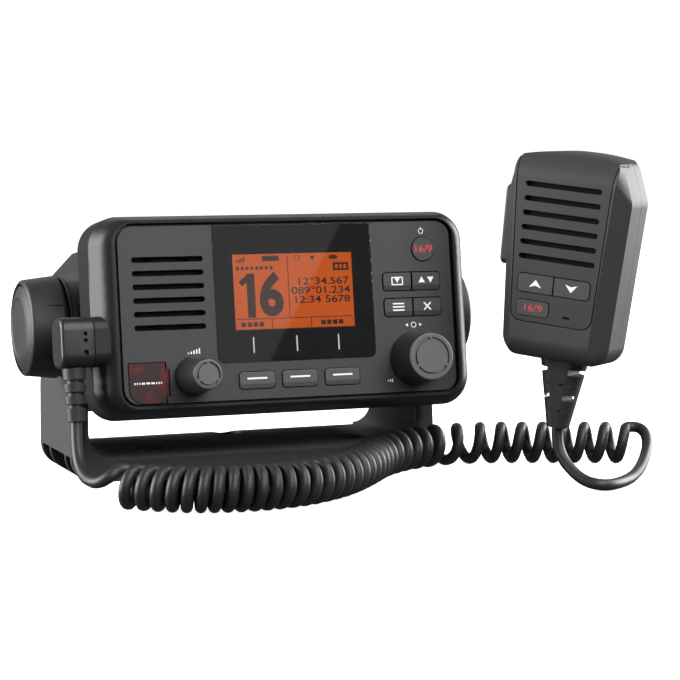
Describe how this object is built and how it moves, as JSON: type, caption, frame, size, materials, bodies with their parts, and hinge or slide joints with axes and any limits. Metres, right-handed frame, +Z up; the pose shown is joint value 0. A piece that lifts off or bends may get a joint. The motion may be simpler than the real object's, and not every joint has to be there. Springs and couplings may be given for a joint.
{
  "type": "vhf marine radio",
  "caption": "Fixed-mount marine radio in a U gimbal bracket with clamp knobs, keys, two knobs and a corded fist microphone on a curly cord.",
  "frame": {"origin": "centre of the flat underside of the mounting bracket, midway between its arms and midway along its depth at the foot", "axes": "+X towards the viewer's right as the radio is used, along its width; +Y back, away from the face; +Z up"},
  "size_m": [0.2774, 0.2063, 0.1433],
  "materials": {
    "bracket_black": "fine satin moulded black plastic",
    "knob_grey": "satin dark grey moulded plastic",
    "knob_cap_grey": "satin grey moulded plastic",
    "stud_steel": "stainless steel",
    "washer_rubber": "matt black rubber",
    "bezel_black": "satin black, slight sheen",
    "panel_black": "fine matt black",
    "window_clear": "clear hard-coated acrylic",
    "lcd_glass": "LCD pane in a grey frame",
    "key_rubber": "dark grey silicone",
    "key_light": "mid grey silicone",
    "mat_silicone": "grey silicone",
    "board_green": "green solder mask",
    "speaker_black": "black cone on a steel magnet",
    "rotary_black": "satin black moulded plastic",
    "shaft_steel": "machined steel",
    "control_metal": "die-cast case",
    "cover_red": "translucent dark red",
    "distress_red": "red silicone",
    "gasket_rubber": "matt black rubber",
    "housing_cast": "cast aluminium, black coating",
    "screw_steel": "stainless steel",
    "insert_brass": "turned brass",
    "connector_metal": "nickel-plated",
    "plug_black": "satin black moulded plastic",
    "boot_rubber": "matt black rubber",
    "cord_black": "satin black cord jacket",
    "case_black": "fine-grained satin black",
    "insert_black": "satin black",
    "capsule_metal": "drawn can"
  },
  "bodies": {
    "bracket": {"mounting_bracket": "bracket_black", "friction_washers": "washer_rubber", "handset_front_shell": "case_black", "handset_rear_shell": "case_black", "handset_face_insert": "insert_black", "handset_speaker": "speaker_black", "handset_circuit_board": "board_green", "microphone_capsule": "capsule_metal", "handset_boot": "boot_rubber", "handset_hang_button": "connector_metal", "handset_screws": "screw_steel", "cord_coil": "cord_black", "cord_tail_handset": "cord_black"},
    "radio": {"front_bezel": "bezel_black", "face_panel": "panel_black", "display_window": "window_clear", "lcd_module": "lcd_glass", "keypad_mat": "mat_silicone", "front_circuit_board": "board_green", "speaker": "speaker_black", "main_gasket": "gasket_rubber", "rear_housing": "housing_cast", "main_circuit_board": "board_green", "antenna_connector": "connector_metal", "power_cable_gland": "boot_rubber", "housing_screws": "screw_steel", "pivot_inserts": "insert_brass", "mic_socket": "connector_metal", "plug_body": "plug_black", "plug_boot": "boot_rubber", "cord_tail_radio": "cord_black", "select_encoder": "control_metal", "volume_control": "control_metal", "distress_hinge_pin": "screw_steel"},
    "clamp_left": {"clamp_knob_left": "knob_grey", "clamp_cap_left": "knob_cap_grey", "clamp_stud_left": "stud_steel"},
    "clamp_right": {"clamp_knob_right": "knob_grey", "clamp_cap_right": "knob_cap_grey", "clamp_stud_right": "stud_steel"},
    "select_push": {"select_plunger": "rotary_black"},
    "select_turn": {"select_knob": "rotary_black", "select_shaft": "shaft_steel"},
    "volume_push": {"volume_plunger": "rotary_black"},
    "volume_turn": {"volume_knob": "rotary_black", "volume_shaft": "shaft_steel"},
    "distress_flap": {"distress_cover": "cover_red"},
    "ptt": {"ptt_lever": "key_rubber"},
    "round_key_cap": {"round_key": "key_rubber"},
    "key_upper_left_cap": {"key_upper_left": "key_rubber"},
    "key_upper_right_cap": {"key_upper_right": "key_rubber"},
    "key_lower_left_cap": {"key_lower_left": "key_rubber"},
    "key_lower_right_cap": {"key_lower_right": "key_rubber"},
    "softkey_left_cap": {"softkey_left": "key_light"},
    "softkey_middle_cap": {"softkey_middle": "key_light"},
    "softkey_right_cap": {"softkey_right": "key_light"},
    "distress_key_cap": {"distress_key": "distress_red"},
    "handset_up_key_cap": {"handset_up_key": "key_rubber"},
    "handset_down_key_cap": {"handset_down_key": "key_rubber"},
    "handset_channel_key_cap": {"handset_channel_key": "key_rubber"}
  },
  "joints": [
    {"name": "gimbal_tilt", "type": "hinge", "parent": "bracket", "child": "radio", "pos_m": [0, -0.01025, 0.0667], "axis": [1, 0, 0], "range_deg": [-9.5, 12], "deforming": ["cord_tail_radio"]},
    {"name": "clamp_left_turn", "type": "hinge", "parent": "bracket", "child": "clamp_left", "pos_m": [0, -0.01025, 0.0667], "axis": [-1, 0, 0], "continuous": true},
    {"name": "clamp_right_turn", "type": "hinge", "parent": "bracket", "child": "clamp_right", "pos_m": [0, -0.01025, 0.0667], "axis": [1, 0, 0], "continuous": true},
    {"name": "round_key_press", "type": "slide", "parent": "radio", "child": "round_key_cap", "axis": [0, 0.9893, -0.1456], "range_m": [0, 0.0008], "stiffness_N_per_m": 800, "springref_m": -0.0005},
    {"name": "key_upper_left_press", "type": "slide", "parent": "radio", "child": "key_upper_left_cap", "axis": [0, 0.9893, -0.1456], "range_m": [0, 0.0008], "stiffness_N_per_m": 800, "springref_m": -0.0005},
    {"name": "key_upper_right_press", "type": "slide", "parent": "radio", "child": "key_upper_right_cap", "axis": [0, 0.9893, -0.1456], "range_m": [0, 0.0008], "stiffness_N_per_m": 800, "springref_m": -0.0005},
    {"name": "key_lower_left_press", "type": "slide", "parent": "radio", "child": "key_lower_left_cap", "axis": [0, 0.9893, -0.1456], "range_m": [0, 0.0008], "stiffness_N_per_m": 800, "springref_m": -0.0005},
    {"name": "key_lower_right_press", "type": "slide", "parent": "radio", "child": "key_lower_right_cap", "axis": [0, 0.9893, -0.1456], "range_m": [0, 0.0008], "stiffness_N_per_m": 800, "springref_m": -0.0005},
    {"name": "softkey_left_press", "type": "slide", "parent": "radio", "child": "softkey_left_cap", "axis": [0, 0.9893, -0.1456], "range_m": [0, 0.0008], "stiffness_N_per_m": 800, "springref_m": -0.0005},
    {"name": "softkey_middle_press", "type": "slide", "parent": "radio", "child": "softkey_middle_cap", "axis": [0, 0.9893, -0.1456], "range_m": [0, 0.0008], "stiffness_N_per_m": 800, "springref_m": -0.0005},
    {"name": "softkey_right_press", "type": "slide", "parent": "radio", "child": "softkey_right_cap", "axis": [0, 0.9893, -0.1456], "range_m": [0, 0.0008], "stiffness_N_per_m": 800, "springref_m": -0.0005},
    {"name": "distress_key_press", "type": "slide", "parent": "radio", "child": "distress_key_cap", "axis": [0, 0.9893, -0.1456], "range_m": [0, 0.0008], "stiffness_N_per_m": 800, "springref_m": -0.0005},
    {"name": "handset_up_key_press", "type": "slide", "parent": "bracket", "child": "handset_up_key_cap", "axis": [0.7986, 0.6018, 0], "range_m": [0, 0.0006], "stiffness_N_per_m": 800, "springref_m": -0.0005},
    {"name": "handset_down_key_press", "type": "slide", "parent": "bracket", "child": "handset_down_key_cap", "axis": [0.7986, 0.6018, 0], "range_m": [0, 0.0006], "stiffness_N_per_m": 800, "springref_m": -0.0005},
    {"name": "handset_channel_key_press", "type": "slide", "parent": "bracket", "child": "handset_channel_key_cap", "axis": [0.7986, 0.6018, 0], "range_m": [0, 0.0006], "stiffness_N_per_m": 800, "springref_m": -0.0005},
    {"name": "ptt_press", "type": "slide", "parent": "bracket", "child": "ptt", "axis": [0.5987, -0.7945, -0.1011], "range_m": [0, 0.0012], "stiffness_N_per_m": 1500, "springref_m": -0.0005},
    {"name": "select_press", "type": "slide", "parent": "radio", "child": "select_push", "axis": [0, 0.9893, -0.1456], "range_m": [0, 0.0006], "stiffness_N_per_m": 1500, "springref_m": -0.0005},
    {"name": "volume_press", "type": "slide", "parent": "radio", "child": "volume_push", "axis": [0, 0.9893, -0.1456], "range_m": [0, 0.0006], "stiffness_N_per_m": 1500, "springref_m": -0.0005},
    {"name": "select_turn", "type": "hinge", "parent": "select_push", "child": "select_turn", "pos_m": [0.0559, -0.07341, 0.05371], "axis": [0, -0.9893, 0.1456], "continuous": true},
    {"name": "volume_turn", "type": "hinge", "parent": "volume_push", "child": "volume_turn", "pos_m": [-0.0448, -0.07391, 0.05034], "axis": [0, -0.9893, 0.1456], "continuous": true},
    {"name": "distress_flap_open", "type": "hinge", "parent": "radio", "child": "distress_flap", "pos_m": [-0.05635, -0.07305, 0.04794], "axis": [0, 0.1456, 0.9893], "range_deg": [0, 95]}
  ]
}
